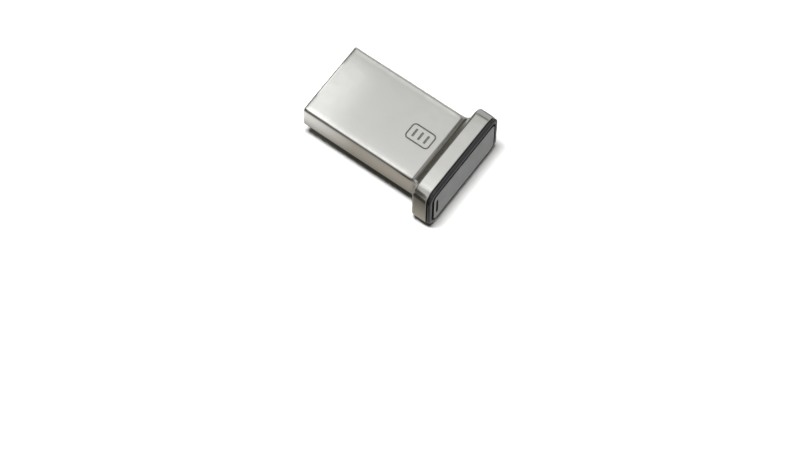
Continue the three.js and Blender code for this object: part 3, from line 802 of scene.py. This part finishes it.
def painted_reflection_sheet():
    """A glowing sheet on the floor, no lamp, that shows only in the metal and the gloss: a painted
    reflection of the floor, with a painted highlight round the plug's tip, a warm tone by the near side,
    a painted shadow beside the plug, a painted dark slanted lane beyond it and a painted shadow under the
    drive."""
    surface = Surface("painted_reflection_sheet", (0, 0, 0), 1.0)
    surface.shader.inputs["Specular IOR Level"].default_value = 0.0
    split = surface.node("ShaderNodeSeparateXYZ")
    surface.link(surface.place, split.inputs["Vector"])
    along = split.outputs["X"]
    across_it = split.outputs["Y"]

    def between(value, low, high):
        return surface.to_range(value, 0, 1, (low * MM, high * MM))

    def past_tip(limits):
        return between(along, *(TIP_X / MM + limit for limit in limits))

    tone = surface.mix_colours(between(across_it, *FAR_RANGE), CARD_WARM, CARD_FAR)
    tone = surface.mix_colours(past_tip(TIP_RANGE), tone, CARD_TIP)
    tone = surface.mix_colours(past_tip(BEYOND_TIP_RANGE), tone, CARD_FRONT)
    # A painted shadow strip beside the plug's near side.
    outer = between(across_it, *EDGE_OUTER_RANGE)
    inner = between(across_it, *EDGE_INNER_RANGE)
    tone = surface.mix_colours(surface.math("MULTIPLY", outer, inner), tone, CARD_EDGE_PAINTED_SHADOW)
    beyond_panel = past_tip([LENGTH + limit for limit in BEYOND_PANEL_RANGE])
    tone = surface.mix_colours(beyond_panel, tone, CARD_FRONT)
    lean = surface.math("ADD", across_it, HEAD_HALF_WIDTH * MM)
    # A painted dark slanted lane beyond the near side.
    lean = surface.math("MULTIPLY", lean, LANE_LEAN)
    lane = surface.math("SUBTRACT", surface.math("SUBTRACT", along, lean), LANE_X * MM)
    in_lane = between(surface.math("ABSOLUTE", lane), *LANE_RANGE)
    beyond = surface.mix_colours(in_lane, CARD_SIDE, CARD_DARK_PAINTED_LANE)
    tone = surface.mix_colours(between(across_it, *SIDE_RANGE), tone, beyond)

    # A painted shadow: the sheet glows only dimly under the plug and the head.
    head_inset, panel_inset = PAINTED_SHADOW_INSET
    off_centre = surface.math("ABSOLUTE", across_it)
    under_plug = surface.math("LESS_THAN", off_centre, PLUG_HALF_WIDTH * MM)
    under_head = surface.math("LESS_THAN", off_centre, (HEAD_HALF_WIDTH - head_inset) * MM)
    head_start = surface.math("GREATER_THAN", along, TIP_X + HEAD_BACK * MM)
    under = surface.math("MAXIMUM", under_plug, surface.math("MULTIPLY", under_head, head_start))
    past_mouth = surface.math("GREATER_THAN", along, TIP_X)
    before_panel = surface.math("LESS_THAN", along, TIP_X + (LENGTH - panel_inset) * MM)
    in_painted_shadow = surface.math("MULTIPLY", surface.math("MULTIPLY", under, past_mouth), before_panel)
    lit = surface.to_range(in_painted_shadow, 1, PAINTED_SHADOW_BRIGHTNESS, (0, 1))
    surface.link(tone, surface.shader.inputs["Emission Color"])
    surface.link(lit, surface.shader.inputs["Emission Strength"])
    card = sheet("painted_reflection_sheet", -HEAD_HALF_HEIGHT - FLOOR_GAP / 2, surface.material)
    card.visible_camera = False
    card.visible_diffuse = False
    card.visible_shadow = False


def backdrop():
    """A round pale wall far behind everything, seen only directly."""
    surface = Surface("backdrop", (0, 0, 0), 1.0)
    surface.shader.inputs["Specular IOR Level"].default_value = 0.0
    tone = surface.to_range(surface.noise(90.0, detail=1), 0.86, 0.9)
    surface.shader.inputs["Emission Color"].default_value = (1, 1, 0.99, 1)
    surface.link(tone, surface.shader.inputs["Emission Strength"])
    steps = WALL_STEPS
    turns = [2 * math.pi * i / steps for i in range(steps)]
    made = bmesh.new()
    rows = []
    for height in WALL_HEIGHTS:
        centre = place(LENGTH / 2, 0, height)
        points = [centre + Vector((math.cos(t), math.sin(t), 0)) * WALL_RADIUS for t in turns]
        rows.append([made.verts.new(point) for point in points])
    for low, high in zip(rows, rows[1:]):
        for i in range(steps):
            j = (i + 1) % steps
            made.faces.new((low[j], low[i], high[i], high[j]))
    wall = to_object("backdrop", made)
    wall.data.materials.append(surface.material)
    wall.visible_diffuse = False
    wall.visible_glossy = False
    wall.visible_shadow = False


def ceiling_card(name, height_mm, x_range, y_range, brightness):
    """A level card over the drive that shows only in shiny surfaces. Ranges are in millimetres."""
    lamp = bpy.data.lights.new(name, "AREA")
    lamp.shape = "RECTANGLE"
    lamp.size = (x_range[1] - x_range[0]) * MM
    lamp.size_y = (y_range[1] - y_range[0]) * MM
    lamp.energy = brightness * math.pi * lamp.size * lamp.size_y
    holder = bpy.data.objects.new(name, lamp)
    centre = Vector((sum(x_range) / 2, sum(y_range) / 2, height_mm)) * MM
    holder.location = centre + Vector((0, 0, AXIS_Z))
    holder.visible_camera = False
    holder.visible_diffuse = False
    bpy.context.scene.collection.objects.link(holder)


def softbox(name, lights, towards, distance_mm, width_mm, height_mm, brightness):
    """A soft rectangular light in a direction from the drive. It lights only matt surfaces
    ("matt") or shows only in shiny ones ("shine")."""
    lamp = bpy.data.lights.new(name, "AREA")
    lamp.shape = "RECTANGLE"
    lamp.size = width_mm * MM
    lamp.size_y = height_mm * MM
    lamp.energy = brightness * math.pi * lamp.size * lamp.size_y
    holder = bpy.data.objects.new(name, lamp)
    direction = Vector(towards).normalized()
    holder.location = place(LENGTH / 2, 0, 0) + direction * distance_mm * MM
    holder.rotation_mode = "QUATERNION"
    holder.rotation_quaternion = direction.to_track_quat("Z", "Y")
    holder.visible_camera = False
    holder.visible_glossy = lights != "matt"
    holder.visible_diffuse = lights != "shine"
    bpy.context.scene.collection.objects.link(holder)
    return holder


def mouth_light():
    """A small light that looks into the plug and reaches only the pieces of the tongue."""
    holder = softbox("mouth_light", "matt", *MOUTH_LIGHT)
    lit = bpy.data.collections.new("tongue_pieces")
    for node in ("plug_carrier", "circuit_board", "plug_stop"):
        lit.objects.link(frame["nodes"][node])
    for piece, _, slot in VISIBLE_PIECES:
        if slot == "gold_plating":
            lit.objects.link(piece)
    holder.light_linking.receiver_collection = lit


def studio_light():
    """A dim warm room, lights for the floor and the mouth, and the cards that the metal reflects."""
    world = bpy.data.worlds.new("studio_room")
    world.use_nodes = True
    background = world.node_tree.nodes["Background"]
    background.inputs["Color"].default_value = (*ROOM_COLOUR, 1)
    background.inputs["Strength"].default_value = ROOM_STRENGTH
    bpy.context.scene.world = world
    softbox("table_light", "matt", *TABLE_LIGHT)
    for name, card in CEILING_CARDS.items():
        ceiling_card(name, *card)
    for name, card in SHINE_CARDS.items():
        softbox(name, "shine", *card)
    mouth_light()


def photo_camera():
    """A long lens high over the end with the panel, on the near side."""
    data = bpy.data.cameras.new("photo_camera")
    data.sensor_width = 36
    data.lens = CAMERA_LENS
    data.clip_start = 0.01
    data.clip_end = 10
    camera = bpy.data.objects.new("photo_camera", data)
    azimuth = math.radians(CAMERA_AZIMUTH)
    elevation = math.radians(CAMERA_ELEVATION)
    roll = math.radians(CAMERA_ROLL)
    level = Vector((math.cos(azimuth), math.sin(azimuth), 0))
    back = level * math.cos(elevation) + Vector((0, 0, math.sin(elevation)))
    level_right = Vector((-math.sin(azimuth), math.cos(azimuth), 0))
    right = level_right * math.cos(roll) + back.cross(level_right) * math.sin(roll)
    up = back.cross(right)
    turn = Matrix((right, up, back)).transposed()
    camera.matrix_world = Matrix.Translation(CAMERA_PLACE * MM) @ turn.to_4x4()
    bpy.context.scene.collection.objects.link(camera)
    bpy.context.scene.camera = camera


sheet("studio_floor", -HEAD_HALF_HEIGHT - FLOOR_GAP, floor_material())
painted_reflection_sheet()
backdrop()
studio_light()
photo_camera()
bpy.context.scene.view_settings.view_transform = "Standard"
